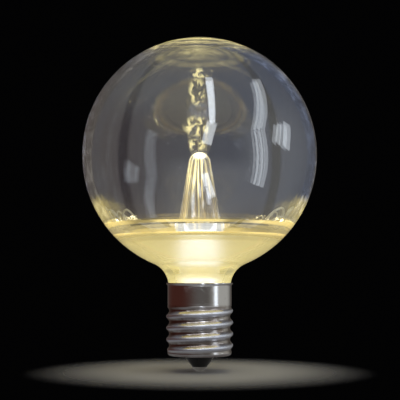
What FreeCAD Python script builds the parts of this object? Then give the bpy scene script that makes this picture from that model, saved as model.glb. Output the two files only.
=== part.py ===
"""LED globe bulb on a screw cap, lamp axis along +Z, origin at the tip of the centre contact.

Bottom to top: a nickel cap with its rolled thread, a black insulator and the centre contact, the neck
and bowl that glow, a clear disc with a hollow light cone, and the clear dome. Board, LEDs and driver
sit in the neck and the cap.
"""
import FreeCAD, Part
import math
import os
import Sketcher

Vector = FreeCAD.Vector
doc = FreeCAD.newDocument("GlobeBulb")

# Driving dimensions in millimetres, each in a named cell of the sheet
DIMENSIONS = [
    ("globe_radius", 29.15, "outer radius of the globe"),
    ("globe_wall", 2.1, "wall of dome, bowl and neck"),
    ("equator_land", 0.35, "straight land between the two half globes"),
    ("joint_latitude", 35.7, "degrees below the equator of the dome's seat on the clear disc"),
    ("disc_thickness", 2.7, "clear disc between bowl and dome"),
    ("register_height", 1.0, "locating rings on both faces of the disc"),
    ("register_width", 1.2, "thickness of the locating rings"),
    ("fit_clearance", 0.15, "locating ring to the wall around it"),
    ("cone_base", 5.3, "outer radius of the light cone at the disc"),
    ("cone_tip", 2.75, "outer radius of its round tip"),
    ("cone_height", 18.0, "height of the light cone above the disc"),
    ("cone_wall", 1.0, "wall of the light cone and its skirt"),
    ("skirt_clearance", 0.6, "skirt below the disc to the bore of the neck"),
    ("skirt_gap", 0.2, "skirt above the LEDs"),
    ("cement_height", 1.5, "height of the cement bead"),
    ("cement_gap", 0.05, "cement to the faces that it wets"),
    ("neck_radius", 7.72, "outer radius of the neck"),
    ("neck_fillet", 5.9, "hollow curve from bowl to neck"),
    ("waist_drop", 0.75, "narrowest place of the neck below the cap's rim"),
    ("seat_gap", 0.05, "clearance at each seat"),
    ("spigot_margin", 1.1, "foot of the neck's spigot above the thread"),
    ("spigot_clearance", 0.1, "spigot to collar"),
    ("ledge_width", 0.7, "ledge that carries the LED board"),
    ("ledge_drop", 0.8, "ledge below the narrowest place of the neck"),
    ("thread_major", 16.5, "crest diameter of the cap thread"),
    ("thread_minor", 15.02, "root diameter of the cap thread"),
    ("thread_pitch", 2.822, "nine turns to the inch"),
    ("thread_phase", 14.9, "height of a crest on the +X side"),
    ("thread_runout", 1.5, "length over which a crest dies away"),
    ("collar_radius", 7.9, "outer radius of the plain collar"),
    ("cap_rim", 21.75, "height of the flared rim"),
    ("collar_length", 5.35, "plain collar and its flared rim, above the thread"),
    ("lip_radius", 0.6, "outer bend radius of the flared rim"),
    ("lip_turn", 70, "degrees the rim is turned outwards"),
    ("sheet", 0.3, "sheet of the cap shell"),
    ("shell_bottom", 3.95, "height of the shell's bottom face"),
    ("shell_corner", 0.7, "outer bend at the foot of the shell"),
    ("contact_hole", 4.25, "radius of the hole in the bottom"),
    ("insulator_tip", 1.85, "radius of the insulator at the contact"),
    ("flange_room", 1.21, "insulator's flange to the thread, for the shell lead"),
    ("flange_thickness", 1.7, "insulator's flange on the floor of the shell"),
    ("contact_height", 1.25, "height of the contact's dome"),
    ("shank_radius", 0.75, "shank of the contact rivet"),
    ("rivet_radius", 1.3, "closed head of the contact rivet"),
    ("rivet_height", 0.4, "height of the closed head"),
    ("led_board_thickness", 0.8, "round board under the LEDs"),
    ("led_length", 2.0, "LED package"),
    ("led_width", 1.6, "LED package"),
    ("led_height", 0.7, "LED package"),
    ("led_window", 0.2, "rim round the phosphor window"),
    ("window_depth", 0.12, "phosphor below the rim"),
    ("led_margin", 0.75, "outer LEDs to the edge of their board"),
    ("driver_clearance", 0.3, "driver board to the bore of the spigot"),
    ("driver_thickness", 0.8, "driver board"),
    ("driver_gap", 0.3, "driver board below the LED board"),
    ("slot_depth", 0.9, "slot for the driver board in the insulator"),
    ("slot_clearance", 0.1, "driver board to the slot"),
    ("notch_width", 3.2, "wire notch in the foot of the driver board"),
    ("notch_height", 2.4, "wire notch above the insulator"),
    ("pin_radius", 0.35, "pins between the two boards"),
    ("pin_edge", 0.9, "pins to the bore of the spigot"),
    ("pin_overlap", 2.0, "pin length along the driver board"),
    ("pin_rise", 0.5, "pin above the LED board"),
    ("hole_clearance", 0.1, "pin to its hole"),
    ("wire_radius", 0.35, "lead wires"),
    ("wire_bend", 0.9, "bend radius of the lead wires"),
    ("wire_clearance", 0.2, "shell lead to the insulator's flange"),
    ("wire_rise", 0.45, "contact lead upright above its rivet"),
    ("wire_edge", 0.8, "shell lead to the side of the driver board"),
    ("lead_rise", 5.2, "pad of the shell lead above the insulator"),
    ("pad_gap", 1.0, "pad of the contact lead to the bridge rectifier"),
    ("bridge_width", 3.8, "bridge rectifier"),
    ("bridge_height", 1.5, "bridge rectifier"),
    ("bridge_lead", 0.6, "width of its four leads"),
    ("bridge_drop", 2.55, "head of the bridge rectifier below the board's head"),
    ("bridge_share", 0.533, "share of the board from its notch to there that the rectifier takes"),
    ("capacitor_width", 8.0, "film capacitor"),
    ("capacitor_depth", 3.6, "film capacitor"),
    ("capacitor_rise", 3.4, "film capacitor above the insulator"),
    ("capacitor_gap", 0.9, "film capacitor to the spigot above it"),
    ("capacitor_standoff", 0.5, "film capacitor to its board"),
    ("capacitor_pitch", 5.0, "its two leads"),
    ("lead_radius", 0.25, "leads of capacitor and resistors"),
    ("resistor_radius", 0.85, "resistors"),
    ("resistor_length", 3.2, "resistors"),
    ("resistor_reach", 0.5, "lead beyond each end of a resistor"),
    ("resistor_drop", 1.55, "upper resistor below the board's head"),
    ("resistor_rise", 3.4, "lower resistor above the insulator"),
    ("resistor_edge", 1.4, "lower resistor to the side of the board"),
]

sheet = doc.addObject("Spreadsheet::Sheet", "Dimensions")
for row, (name, size, meaning) in enumerate(DIMENSIONS, 1):
    sheet.set("A%d" % row, name)
    sheet.set("B%d" % row, str(size))
    sheet.set("C%d" % row, meaning)
    sheet.setAlias("B%d" % row, name)
doc.recompute()

# Places that follow from the dimensions; each may use the ones above it
PLACES = [
    ("bore_radius", "Dimensions.globe_radius - Dimensions.globe_wall"),
    ("fillet_level", "Dimensions.cap_rim - Dimensions.waist_drop"),
    ("fillet_across", "Dimensions.neck_radius + Dimensions.neck_fillet"),
    ("fillet_reach", "Dimensions.globe_radius + Dimensions.neck_fillet"),
    ("fillet_drop", "sqrt(Places.fillet_reach ^ 2 - Places.fillet_across ^ 2)"),
    ("fillet_bore", "Dimensions.neck_fillet + Dimensions.globe_wall"),
    ("lower_centre", "Places.fillet_level + Places.fillet_drop"),
    ("upper_centre", "Places.lower_centre + Dimensions.equator_land"),
    ("crown", "Places.upper_centre + Dimensions.globe_radius"),
    ("joint_drop", "Dimensions.globe_radius * sin(Dimensions.joint_latitude * 1 deg)"),
    ("rim_drop", "Places.joint_drop + Dimensions.disc_thickness"),
    ("joint_height", "Places.lower_centre - Places.joint_drop"),
    ("bowl_rim", "Places.lower_centre - Places.rim_drop"),
    ("joint_outer", "sqrt(Dimensions.globe_radius ^ 2 - Places.joint_drop ^ 2)"),
    ("joint_inner", "sqrt(Places.bore_radius ^ 2 - Places.joint_drop ^ 2)"),
    ("rim_outer", "sqrt(Dimensions.globe_radius ^ 2 - Places.rim_drop ^ 2)"),
    ("rim_inner", "sqrt(Places.bore_radius ^ 2 - Places.rim_drop ^ 2)"),
    ("upper_register", "Places.joint_inner - Dimensions.fit_clearance"),
    ("register_foot_drop", "Places.rim_drop + Dimensions.register_height"),
    ("register_foot_bore", "sqrt(Places.bore_radius ^ 2 - Places.register_foot_drop ^ 2)"),
    ("lower_register", "Places.register_foot_bore - Dimensions.fit_clearance"),
    ("neck_bore", "Dimensions.neck_radius - Dimensions.globe_wall"),
    ("shoulder", "Dimensions.cap_rim + Dimensions.seat_gap"),
    ("shoulder_rise", "Places.shoulder - Places.fillet_level"),
    ("shoulder_radius", "Places.fillet_across - sqrt(Dimensions.neck_fillet ^ 2 - Places.shoulder_rise ^ 2)"),
    ("thread_top", "Dimensions.cap_rim - Dimensions.collar_length"),
    ("spigot_foot", "Places.thread_top + Dimensions.spigot_margin"),
    ("collar_bore", "Dimensions.collar_radius - Dimensions.sheet"),
    ("spigot_radius", "Places.collar_bore - Dimensions.spigot_clearance"),
    ("ledge", "Places.fillet_level - Dimensions.ledge_drop"),
    ("ledge_bore", "Places.neck_bore - Dimensions.ledge_width"),
    ("led_board_foot", "Places.ledge + Dimensions.seat_gap"),
    ("led_board_top", "Places.led_board_foot + Dimensions.led_board_thickness"),
    ("led_board_radius", "Places.neck_bore - Dimensions.seat_gap"),
    ("led_circle", "Places.led_board_radius - Dimensions.led_margin - Dimensions.led_width / 2"),
    ("led_foot", "Places.led_board_top + Dimensions.seat_gap"),
    ("cone_centre", "Dimensions.cone_height - Dimensions.cone_tip"),
    ("cone_reach", "sqrt(Dimensions.cone_base ^ 2 + Places.cone_centre ^ 2)"),
    ("cone_slant", "(acos(Dimensions.cone_tip / Places.cone_reach)"
                   " - atan(Places.cone_centre / Dimensions.cone_base)) / 1 deg"),
    ("cone_cos", "cos(Places.cone_slant * 1 deg)"),
    ("cone_sin", "sin(Places.cone_slant * 1 deg)"),
    ("cone_bore_tip", "Dimensions.cone_tip - Dimensions.cone_wall"),
    ("cone_bore_base", "Dimensions.cone_base - Dimensions.cone_wall / Places.cone_cos"),
    ("cone_tip_centre", "Places.joint_height + Places.cone_centre"),
    ("skirt_radius", "Places.neck_bore - Dimensions.skirt_clearance"),
    ("skirt_bore", "Places.skirt_radius - Dimensions.cone_wall"),
    ("skirt_foot", "Places.led_foot + Dimensions.led_height + Dimensions.skirt_gap"),
    ("shell_floor", "Dimensions.shell_bottom + Dimensions.sheet"),
    ("insulator_seat", "Places.shell_floor + Dimensions.seat_gap"),
    ("insulator_top", "Places.insulator_seat + Dimensions.flange_thickness"),
    ("flange_radius", "Dimensions.thread_minor / 2 - Dimensions.sheet - Dimensions.flange_room"),
    ("plug_radius", "Dimensions.contact_hole - Dimensions.seat_gap"),
    ("driver_half", "Dimensions.driver_thickness / 2"),
    ("driver_side", "Places.ledge_bore - Dimensions.driver_clearance"),
    ("driver_foot", "Places.insulator_top - Dimensions.slot_depth + Dimensions.slot_clearance"),
    ("driver_head", "Places.led_board_foot - Dimensions.driver_gap"),
    ("notch_top", "Places.insulator_top + Dimensions.notch_height"),
    ("rivet_foot", "Places.insulator_top + Dimensions.seat_gap"),
    ("rivet_top", "Places.rivet_foot + Dimensions.rivet_height"),
    ("pin_offset", "Places.ledge_bore - Dimensions.pin_edge"),
    ("pin_row", "Places.driver_half + Dimensions.seat_gap + Dimensions.pin_radius"),
    ("pin_foot", "Places.driver_head - Dimensions.pin_overlap"),
    ("pin_length", "Places.led_board_top + Dimensions.pin_rise - Places.pin_foot"),
    ("pin_hole", "Dimensions.pin_radius + Dimensions.hole_clearance"),
    ("wire_row", "Places.driver_half + Dimensions.seat_gap + Dimensions.wire_radius"),
    ("shell_wire_up", "Places.driver_side - Dimensions.wire_edge"),
    ("shell_wire_out", "Places.flange_radius + Dimensions.wire_radius + Dimensions.wire_clearance"),
    ("bridge_top", "Places.driver_head - Dimensions.bridge_drop"),
    ("bridge_length", "(Places.bridge_top - Places.notch_top) * Dimensions.bridge_share"),
    ("bridge_level", "Places.bridge_top - Places.bridge_length"),
    ("capacitor_level", "Places.insulator_top + Dimensions.capacitor_rise"),
    ("capacitor_height", "Places.spigot_foot - Dimensions.capacitor_gap - Places.capacitor_level"),
    ("resistor_1_level", "Places.driver_head - Dimensions.resistor_drop"),
    ("resistor_2_level", "Places.insulator_top + Dimensions.resistor_rise"),
    ("resistor_2_offset", "Places.driver_side - Dimensions.resistor_edge"),
]

places = doc.addObject("App::VarSet", "Places")
for name, rule in PLACES:
    places.addProperty("App::PropertyFloat", name, "Places")
    places.setExpression(name, rule)
    doc.recompute()


def value(rule):
    """Number that a rule over the sheet gives now."""
    return float(sheet.evalExpression(str(rule)))


def origin_plane(body, role):
    """Plane of the body's own origin with this role."""
    return [plane for plane in body.Origin.OriginFeatures if plane.Role == role][0]


def sketch_on(body, name, role="XZ_Plane"):
    """Empty sketch on one of the body's origin planes."""
    sketch = body.newObject("Sketcher::SketchObject", name)
    sketch.AttachmentSupport = [(origin_plane(body, role), "")]
    sketch.MapMode = "FlatFace"
    return sketch


def bind(sketch, constraint, rule):
    """Add a sized constraint and tie it to its rule."""
    index = sketch.addConstraint(constraint)
    sketch.setExpression("Constraints[%d]" % index, str(rule))


def pin_point(sketch, side, end, across, up):
    """Tie one end of a side to its two rules; a rule of "0" puts it on that axis."""
    if across == "0":
        sketch.addConstraint(Sketcher.Constraint("PointOnObject", side, end, -2))
    else:
        bind(sketch, Sketcher.Constraint("DistanceX", -1, 1, side, end, value(across)), across)
    if up == "0":
        sketch.addConstraint(Sketcher.Constraint("PointOnObject", side, end, -1))
    else:
        bind(sketch, Sketcher.Constraint("DistanceY", -1, 1, side, end, value(up)), up)


def arc_between(first, last, radius, hand):
    """Minor arc from first to last; hand +1 has its centre on the left of the way, -1 on the right."""
    way = last - first
    across = Vector(-way.y, way.x, 0).normalize() * hand
    middle = (first + last) * 0.5
    rise = math.sqrt(max(radius ** 2 - (way.Length / 2) ** 2, 0))
    centre = middle + across * rise
    return Part.Arc(first, centre - across * radius, last)


def draw_outline(sketch, corners):
    """Closed outline. A corner is (across, up) or (across, up, radius, hand) when an arc leaves it."""
    points = [Vector(value(corner[0]), value(corner[1]), 0) for corner in corners]
    ends = []
    for number, corner in enumerate(corners):
        first = points[number]
        last = points[(number + 1) % len(points)]
        if len(corner) == 2:
            side = sketch.addGeometry(Part.LineSegment(first, last))
        else:
            side = sketch.addGeometry(arc_between(first, last, value(corner[2]), corner[3]))
        starts_here = (sketch.getPoint(side, 1) - first).Length < (sketch.getPoint(side, 2) - first).Length
        ends.append((side, 1, 2) if starts_here else (side, 2, 1))
    for number, corner in enumerate(corners):
        side, start, finish = ends[number]
        following, following_start, _ = ends[(number + 1) % len(ends)]
        sketch.addConstraint(Sketcher.Constraint("Coincident", side, finish, following, following_start))
        pin_point(sketch, side, start, corner[0], corner[1])
        if len(corner) > 2:
            bind(sketch, Sketcher.Constraint("Radius", side, value(corner[2])), corner[2])
    doc.recompute()


def draw_circle(sketch, across, up, radius):
    """Circle with its centre and radius tied to their rules."""
    centre = Vector(value(across), value(up), 0)
    side = sketch.addGeometry(Part.Circle(centre, Vector(0, 0, 1), value(radius)))
    pin_point(sketch, side, 3, across, up)
    bind(sketch, Sketcher.Constraint("Radius", side, value(radius)), radius)
    doc.recompute()


def new_body(name):
    """PartDesign body whose label names its file."""
    body = doc.addObject("PartDesign::Body", name)
    body.Label = name
    return body


def turned(name, corners):
    """Body turned about the lamp axis from one outline."""
    body = new_body(name)
    sketch = sketch_on(body, name + "_outline")
    draw_outline(sketch, corners)
    turn = body.newObject("PartDesign::Revolution", name + "_turn")
    turn.Profile = sketch
    turn.ReferenceAxis = (sketch, ["V_Axis"])
    turn.Angle = 360
    doc.recompute()
    return body


def pad(body, sketch, length, name):
    """Pad of a sketch, along its normal, with a length that follows its rule."""
    block = body.newObject("PartDesign::Pad", name)
    block.Profile = sketch
    block.setExpression("Length", str(length))
    doc.recompute()
    return block


def pocket(body, sketch, name, depth=None, reverse=False):
    """Pocket that must take material away: of a depth, or through all."""
    before = body.Shape.Volume
    hollow = body.newObject("PartDesign::Pocket", name)
    hollow.Profile = sketch
    hollow.Reversed = reverse
    if depth is None:
        hollow.Type = "ThroughAll"
    else:
        hollow.setExpression("Length", str(depth))
    doc.recompute()
    if body.Shape.Volume > before - 1e-6:
        raise RuntimeError(name + " cuts nothing")
    return hollow


def rectangle(across, up, width, height):
    """Corners of an upright rectangle with its middle at (across, up)."""
    left = "%s - (%s) / 2" % (across, width)
    right = "%s + (%s) / 2" % (across, width)
    low = "%s - (%s) / 2" % (up, height)
    high = "%s + (%s) / 2" % (up, height)
    return [(left, low), (right, low), (right, high), (left, high)]


def globe_dome():
    """Clear upper shell: both walls are arcs about the same centres, with the equator land between."""
    return turned("globe_dome", [
        ("Places.joint_outer", "Places.joint_height", "Dimensions.globe_radius", 1),
        ("Dimensions.globe_radius", "Places.lower_centre"),
        ("Dimensions.globe_radius", "Places.upper_centre", "Dimensions.globe_radius", 1),
        ("0", "Places.crown"),
        ("0", "Places.crown - Dimensions.globe_wall", "Places.bore_radius", -1),
        ("Places.bore_radius", "Places.upper_centre"),
        ("Places.bore_radius", "Places.lower_centre", "Places.bore_radius", -1),
        ("Places.joint_inner", "Places.joint_height"),
    ])


def core_lens():
    """Clear disc flush with the globe, a locating ring on each face, the hollow cone and its skirt."""
    top = "Places.joint_height"
    foot = "Places.bowl_rim"
    slant_across = "Dimensions.cone_tip * Places.cone_cos"
    slant_up = "Places.cone_tip_centre + Dimensions.cone_tip * Places.cone_sin"
    bore_across = "Places.cone_bore_tip * Places.cone_cos"
    bore_up = "Places.cone_tip_centre + Places.cone_bore_tip * Places.cone_sin"
    return turned("core_lens", [
        ("Places.rim_outer", foot, "Dimensions.globe_radius", 1),
        ("Places.joint_outer", top),
        ("Places.upper_register", top),
        ("Places.upper_register", top + " + Dimensions.register_height"),
        ("Places.upper_register - Dimensions.register_width", top + " + Dimensions.register_height"),
        ("Places.upper_register - Dimensions.register_width", top),
        ("Dimensions.cone_base", top),
        (slant_across, slant_up, "Dimensions.cone_tip", 1),
        ("0", top + " + Dimensions.cone_height"),
        ("0", top + " + Dimensions.cone_height - Dimensions.cone_wall", "Places.cone_bore_tip", -1),
        (bore_across, bore_up),
        ("Places.cone_bore_base", top),
        ("Places.skirt_bore", foot),
        ("Places.skirt_bore", "Places.skirt_foot"),
        ("Places.skirt_radius", "Places.skirt_foot"),
        ("Places.skirt_radius", foot),
        ("Places.lower_register - Dimensions.register_width", foot),
        ("Places.lower_register - Dimensions.register_width", foot + " - Dimensions.register_height"),
        ("Places.lower_register", foot + " - Dimensions.register_height"),
        ("Places.lower_register", foot),
    ])


def globe_bowl():
    """Bowl, hollow curve, neck and spigot in one moulding, with the ledge for the LED board."""
    share = "Dimensions.globe_radius / Places.fillet_reach"
    bore_share = "Places.bore_radius / Places.fillet_reach"
    return turned("globe_bowl", [
        ("Places.rim_inner", "Places.bowl_rim", "Places.bore_radius", -1),
        ("Places.fillet_across * " + bore_share,
         "Places.lower_centre - Places.fillet_drop * " + bore_share, "Places.fillet_bore", 1),
        ("Places.neck_bore", "Places.fillet_level"),
        ("Places.neck_bore", "Places.ledge"),
        ("Places.ledge_bore", "Places.ledge"),
        ("Places.ledge_bore", "Places.spigot_foot"),
        ("Places.spigot_radius", "Places.spigot_foot"),
        ("Places.spigot_radius", "Places.shoulder"),
        ("Places.shoulder_radius", "Places.shoulder", "Dimensions.neck_fillet", -1),
        ("Places.fillet_across * " + share,
         "Places.lower_centre - Places.fillet_drop * " + share, "Dimensions.globe_radius", 1),
        ("Places.rim_outer", "Places.bowl_rim"),
    ])


def joint_cement():
    """Bead of clear cement in the wedge between the dome's wall and the disc's upper ring."""
    foot = "Places.joint_height + Dimensions.register_height / 4"
    top = "Places.joint_height + Dimensions.cement_height"
    bore = "Places.bore_radius - Dimensions.cement_gap"
    across = "sqrt((%s) ^ 2 - (Places.lower_centre - (%s)) ^ 2)"
    inner = "Places.upper_register + Dimensions.cement_gap"
    return turned("joint_cement", [
        (inner, foot),
        (across % (bore, foot), foot, bore, 1),
        (across % (bore, top), top),
        (inner, top),
    ])


def led_board():
    """Round board on the neck's ledge, with holes for the two pins."""
    body = new_body("led_board")
    disc = sketch_on(body, "led_board_disc", "XY_Plane")
    draw_circle(disc, "0", "0", "Places.led_board_radius")
    pad(body, disc, "Dimensions.led_board_thickness", "led_board_pad")
    holes = sketch_on(body, "led_board_holes", "XY_Plane")
    for hand in ("", "-"):
        draw_circle(holes, hand + "Places.pin_offset", "Places.pin_row", "Places.pin_hole")
    pocket(body, holes, "led_board_drill", reverse=True)
    body.setExpression(".Placement.Base.z", "Places.led_board_foot")
    return body


def led(number):
    """LED package with its phosphor window: number 1 in the middle, 2 to 5 on the circle."""
    name = "led_%d" % number
    body = new_body(name)
    base = sketch_on(body, name + "_base", "XY_Plane")
    draw_outline(base, rectangle("0 * Dimensions.led_width", "0 * Dimensions.led_length",
                                 "Dimensions.led_width", "Dimensions.led_length"))
    pad(body, base, "Dimensions.led_height", name + "_pad")
    window = sketch_on(body, name + "_window", "XY_Plane")
    window.setExpression(".AttachmentOffset.Base.z", "Dimensions.led_height")
    draw_outline(window, rectangle("0 * Dimensions.led_width", "0 * Dimensions.led_length",
                                   "Dimensions.led_width - 2 * Dimensions.led_window",
                                   "Dimensions.led_length - 2 * Dimensions.led_window"))
    pocket(body, window, name + "_pocket", "Dimensions.window_depth")
    turn = 45 + 90 * (number - 2)
    if number > 1:
        body.Placement.Rotation = FreeCAD.Rotation(Vector(0, 0, 1), turn)
        body.setExpression(".Placement.Base.x", "Places.led_circle * cos(%d deg)" % turn)
        body.setExpression(".Placement.Base.y", "Places.led_circle * sin(%d deg)" % turn)
    body.setExpression(".Placement.Base.z", "Places.led_foot")
    return body


def driver_board():
    """Upright board that stands in the insulator's slot, notched at its foot for the contact's lead."""
    body = new_body("driver_board")
    outline = sketch_on(body, "driver_board_outline")
    half = "Places.driver_side"
    notch = "Dimensions.notch_width / 2"
    draw_outline(outline, [
        (notch, "Places.driver_foot"),
        (half, "Places.driver_foot"),
        (half, "Places.driver_head"),
        ("-" + half, "Places.driver_head"),
        ("-" + half, "Places.driver_foot"),
        ("-" + notch, "Places.driver_foot"),
        ("-" + notch, "Places.notch_top"),
        (notch, "Places.notch_top"),
    ])
    block = pad(body, outline, "Dimensions.driver_thickness", "driver_board_pad")
    block.Midplane = True
    return body


def cap_insulator():
    """Black plug: cone below the shell, neck through its hole, flange inside and the board's slot."""
    body = turned("cap_insulator", [
        ("Dimensions.shank_radius + Dimensions.seat_gap", "Dimensions.contact_height"),
        ("Dimensions.insulator_tip", "Dimensions.contact_height"),
        ("Places.plug_radius - Dimensions.sheet", "Dimensions.shell_bottom - Dimensions.seat_gap"),
        ("Places.plug_radius", "Dimensions.shell_bottom - Dimensions.seat_gap"),
        ("Places.plug_radius", "Places.insulator_seat"),
        ("Places.flange_radius", "Places.insulator_seat"),
        ("Places.flange_radius", "Places.insulator_top"),
        ("Dimensions.shank_radius + Dimensions.seat_gap", "Places.insulator_top"),
    ])
    slot = sketch_on(body, "cap_insulator_slot", "XY_Plane")
    slot.setExpression(".AttachmentOffset.Base.z", "Places.insulator_top")
    thickness = "Dimensions.driver_thickness + 2 * Dimensions.slot_clearance"
    for hand in ("", "-"):
        middle = hand + "(Places.driver_side + Dimensions.notch_width / 2) / 2"
        length = "Places.driver_side - Dimensions.notch_width / 2 + 2 * Dimensions.slot_clearance"
        draw_outline(slot, rectangle(middle, "0 * Dimensions.sheet", length, thickness))
    pocket(body, slot, "cap_insulator_pocket", "Dimensions.slot_depth")
    return body


def centre_contact():
    """Rivet: domed head below the insulator, shank through it and a closed head on its inner face."""
    head = "(Dimensions.contact_height - Dimensions.seat_gap)"
    dome = "(Dimensions.insulator_tip ^ 2 + %s ^ 2) / (2 * %s)" % (head, head)
    return turned("centre_contact", [
        ("0", "0", dome, 1),
        ("Dimensions.insulator_tip", head),
        ("Dimensions.shank_radius", head),
        ("Dimensions.shank_radius", "Places.rivet_foot"),
        ("Dimensions.rivet_radius", "Places.rivet_foot"),
        ("Dimensions.rivet_radius", "Places.rivet_top"),
        ("0", "Places.rivet_top"),
    ])


def block(name, corner, size):
    """Part box with its corner and its sizes tied to their rules."""
    box = doc.addObject("Part::Box", name)
    for side, rule in zip(("Length", "Width", "Height"), size):
        box.setExpression(side, rule)
    for axis, rule in zip("xyz", corner):
        box.setExpression(".Placement.Base." + axis, rule)
    return box


def rod(name, start, radius, length, direction):
    """Part cylinder from its start along a direction."""
    cylinder = doc.addObject("Part::Cylinder", name)
    cylinder.setExpression("Radius", radius)
    cylinder.setExpression("Height", length)
    cylinder.Placement.Rotation = FreeCAD.Rotation(Vector(0, 0, 1), Vector(*direction))
    for axis, rule in zip("xyz", start):
        cylinder.setExpression(".Placement.Base." + axis, rule)
    return cylinder


def joined(name, pieces):
    """One solid from several that overlap, under the node's own label."""
    fuse = doc.addObject("Part::MultiFuse", name)
    fuse.Label = name
    fuse.Shapes = pieces
    fuse.Refine = True
    doc.recompute()
    return fuse


def bridge_rectifier():
    """Flat package on the front of the driver board with four bent leads."""
    face = "Places.driver_half + Dimensions.seat_gap"
    lead = "Dimensions.bridge_lead"
    thin = lead + " / 3"
    pieces = [block("bridge_case",
                    ("-Dimensions.bridge_width / 2", "-(%s) - Dimensions.bridge_height" % face,
                     "Places.bridge_level"),
                    ("Dimensions.bridge_width", "Dimensions.bridge_height - " + thin,
                     "Places.bridge_length"))]
    for number, (hand, level) in enumerate([(1, "1 / 5"), (1, "4 / 5"), (-1, "1 / 5"), (-1, "4 / 5")], 1):
        inner = "Dimensions.bridge_width / 2 - " + lead
        left = inner if hand > 0 else "-Dimensions.bridge_width / 2 - " + lead
        foot = "Dimensions.bridge_width / 2 + %s * 2 / 3" % lead
        foot_left = foot if hand > 0 else "-(%s) - %s" % (foot, thin)
        level = "Places.bridge_level + Places.bridge_length * %s - %s / 2" % (level, lead)
        pieces.append(block("bridge_arm_%d" % number,
                            (left, "-(%s) - Dimensions.bridge_height / 2" % face, level),
                            (lead + " * 2", thin, lead)))
        pieces.append(block("bridge_foot_%d" % number,
                            (foot_left, "-(%s) - Dimensions.bridge_height / 2" % face, level),
                            (thin, "Dimensions.bridge_height / 2", lead)))
    return joined("bridge_rectifier", pieces)


def film_capacitor():
    """Dipped box capacitor behind the driver board, on its two leads."""
    back = "Places.driver_half + Dimensions.seat_gap"
    face = "%s + Dimensions.capacitor_standoff" % back
    case = block("capacitor_case",
                 ("-Dimensions.capacitor_width / 2", face, "Places.capacitor_level"),
                 ("Dimensions.capacitor_width", "Dimensions.capacitor_depth", "Places.capacitor_height"))
    doc.recompute()
    rounded = doc.addObject("Part::Fillet", "capacitor_round")
    rounded.Base = case
    corner = value("Dimensions.capacitor_depth") / 6
    rounded.Edges = [(number + 1, corner, corner) for number in range(len(case.Shape.Edges))]
    doc.recompute()
    pieces = [rounded]
    for hand in ("", "-"):
        pieces.append(rod("capacitor_lead" + ("_right" if hand else "_left"),
                          (hand + "Dimensions.capacitor_pitch / 2", back,
                           "Places.capacitor_level + Places.capacitor_height / 4"),
                          "Dimensions.lead_radius",
                          "Dimensions.capacitor_standoff + Dimensions.capacitor_depth / 2", (0, 1, 0)))
    return joined("film_capacitor", pieces)


def resistor(number, middle, direction):
    """Axial resistor on the front of the board: waisted body, straight leads, ends bent to the board."""
    name = "resistor_%d" % number
    along = {"x": 0, "z": 2}[direction]
    way = (1, 0, 0) if direction == "x" else (0, 0, 1)
    row = "-(Places.driver_half + Dimensions.seat_gap + Dimensions.resistor_radius)"
    middle = (middle[0], row, middle[1])

    def shifted(rule):
        place = list(middle)
        place[along] = "%s + (%s)" % (place[along], rule)
        return tuple(place)

    half = "Dimensions.resistor_length / 2"
    reach = "(%s + Dimensions.resistor_reach)" % half
    pieces = [rod(name + "_body", shifted("-" + half), "Dimensions.resistor_radius * 0.85",
                  "Dimensions.resistor_length", way),
              rod(name + "_wire", shifted("-" + reach), "Dimensions.lead_radius", "2 * " + reach, way)]
    for end, rule in (("low", "-" + half), ("high", half + " - Dimensions.resistor_length / 4")):
        pieces.append(rod(name + "_cap_" + end, shifted(rule), "Dimensions.resistor_radius",
                          "Dimensions.resistor_length / 4", way))
    for end, hand in (("low", "-"), ("high", "")):
        pieces.append(rod(name + "_leg_" + end, shifted(hand + reach), "Dimensions.lead_radius",
                          "Dimensions.resistor_radius", (0, 1, 0)))
    return joined(name, pieces)


def board_pin(name, hand):
    """Round pin along the driver board and up through the LED board."""
    pin = rod(name, (hand + "Places.pin_offset", "Places.pin_row", "Places.pin_foot"),
              "Dimensions.pin_radius", "Places.pin_length", (0, 0, 1))
    pin.Label = name
    return pin


def wire_route(points, bend):
    """Straight runs through the points with a tangent arc of the bend radius at each turn."""
    edges = []
    start = points[0]
    for before, corner, after in zip(points, points[1:], points[2:]):
        arrive = (corner - before).normalize()
        leave = (after - corner).normalize()
        half_turn = arrive.getAngle(leave) / 2
        cut = bend * math.tan(half_turn)
        first = corner - arrive * cut
        last = corner + leave * cut
        inward = (leave - arrive).normalize()
        middle = corner + inward * (bend / math.cos(half_turn) - bend)
        edges += [Part.LineSegment(start, first).toShape(), Part.Arc(first, middle, last).toShape()]
        start = last
    edges.append(Part.LineSegment(start, points[-1]).toShape())
    return Part.Wire(edges)


def lead_wire(name, points):
    """Round wire along its route."""
    route = wire_route([Vector(*[value(rule) for rule in point]) for point in points],
                       value("Dimensions.wire_bend"))
    first = route.Edges[0]
    section = Part.Wire(Part.makeCircle(value("Dimensions.wire_radius"), first.Vertexes[0].Point,
                                        first.tangentAt(first.FirstParameter)))
    wire = doc.addObject("Part::Feature", name)
    wire.Label = name
    wire.Shape = route.makePipeShell([section], True, True)
    return wire


def lead_wires():
    """Leads from the driver board's pads to the shell's floor and to the contact's rivet."""
    row = "-Places.wire_row"
    lead_wire("lead_wire_shell", [
        ("Places.shell_wire_up", row, "Places.insulator_top + Dimensions.lead_rise"),
        ("Places.shell_wire_up", row, "Places.insulator_top + Dimensions.lead_rise * 3 / 5"),
        ("Places.shell_wire_out", row, "Places.insulator_top + Dimensions.lead_rise / 6"),
        ("Places.shell_wire_out", row, "Places.insulator_seat + Dimensions.seat_gap"),
    ])
    lead_wire("lead_wire_contact", [
        ("0", "0", "Places.rivet_top"),
        ("0", "0", "Places.rivet_top + Dimensions.wire_rise"),
        ("0", row, "Places.notch_top - Dimensions.wire_bend / 2"),
        ("0", row, "Places.bridge_level - Dimensions.pad_gap"),
    ])


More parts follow.
